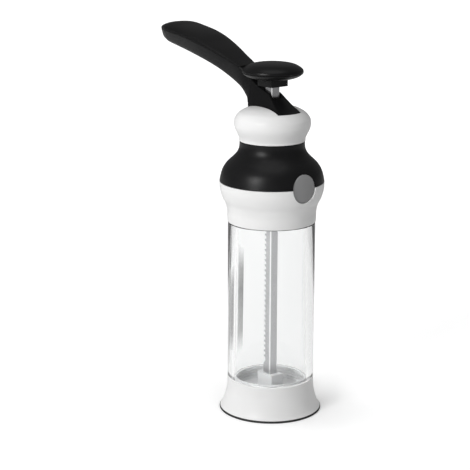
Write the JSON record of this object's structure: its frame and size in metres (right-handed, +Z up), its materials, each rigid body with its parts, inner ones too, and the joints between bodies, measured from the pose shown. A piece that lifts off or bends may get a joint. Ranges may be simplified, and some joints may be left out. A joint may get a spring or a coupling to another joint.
{
  "type": "cookie press",
  "caption": "Lever-driven cookie press with a clear barrel, a toothed plunger rod with a round knob, a flared base ring with a patterned disc, and a round release button.",
  "frame": {"origin": "on the press axis, in the plane that it stands on", "axes": "+Z up along the barrel; the lever reaches towards -X and the release button faces +X; Y is across the lever"},
  "size_m": [0.1576, 0.0728, 0.2659],
  "materials": {
    "foot_ring": "matt black rubber",
    "white_plastic": "satin white plastic",
    "clear_plastic": "clear moulded plastic",
    "frosted_plastic": "frosted plastic",
    "black_soft": "soft-touch black",
    "black_gloss": "satin black plastic",
    "grey_plastic": "fine-textured grey plastic",
    "grey_frame": "dark grey plastic",
    "steel": "brushed stainless steel",
    "spring_steel": "drawn spring wire"
  },
  "bodies": {
    "base": {"foot_ring": "foot_ring", "base_ring": "white_plastic", "cookie_disc": "steel"},
    "barrel": {"barrel": "clear_plastic"},
    "head": {"lower_housing": "white_plastic", "grip_band": "black_soft", "upper_cap": "white_plastic", "inner_frame": "grey_frame", "rod_guide": "white_plastic", "upper_rod_guide": "white_plastic", "frame_screw_1": "steel", "frame_screw_2": "steel", "frame_screw_3": "steel", "tie_screw_1": "steel", "tie_screw_2": "steel", "lever_pivot_pin": "steel", "lever_return_spring": "spring_steel"},
    "plunger_rod": {"rack_rod": "steel", "rod_foot_block": "steel", "rod_head_block": "steel", "plunger": "frosted_plastic", "plunger_screw": "steel", "knob_base": "black_gloss", "knob_cover": "black_gloss", "knob_screw": "steel"},
    "lever": {"lever_frame": "black_gloss", "lever_pad": "black_soft", "drive_pawl_pin": "steel", "drive_pawl_spring": "spring_steel"},
    "drive_pawl": {"drive_pawl": "steel"},
    "button": {"release_button": "grey_plastic", "catch_plate": "steel", "button_spring": "spring_steel"}
  },
  "joints": [
    {"name": "base_twist", "type": "hinge", "parent": "base", "child": "barrel", "pos_m": [0, 0, 0.024], "axis": [0, 0, 1], "range_deg": [0, 30]},
    {"name": "barrel_twist", "type": "hinge", "parent": "barrel", "child": "head", "pos_m": [0, 0, 0.1374], "axis": [0, 0, 1], "range_deg": [0, 30]},
    {"name": "rod_slide", "type": "slide", "parent": "head", "child": "plunger_rod", "axis": [0, 0, 1], "range_m": [0, 0.105]},
    {"name": "lever_press", "type": "hinge", "parent": "head", "child": "lever", "pos_m": [0.0115, 0, 0.2095], "axis": [0, -1, 0], "range_deg": [0, 11], "stiffness_Nm_per_rad": 0.6, "springref_deg": -20.05, "deforming": ["lever_return_spring"]},
    {"name": "drive_pawl_swing", "type": "hinge", "parent": "lever", "child": "drive_pawl", "pos_m": [-0.0095, 0, 0.206], "axis": [0, 1, 0], "range_deg": [0, 8], "stiffness_Nm_per_rad": 0.01, "springref_deg": -17.19, "deforming": ["drive_pawl_spring"]},
    {"name": "button_push", "type": "slide", "parent": "head", "child": "button", "axis": [-1, 0, 0], "range_m": [0, 0.003], "stiffness_N_per_m": 600, "springref_m": -0.004, "deforming": ["button_spring"]}
  ]
}
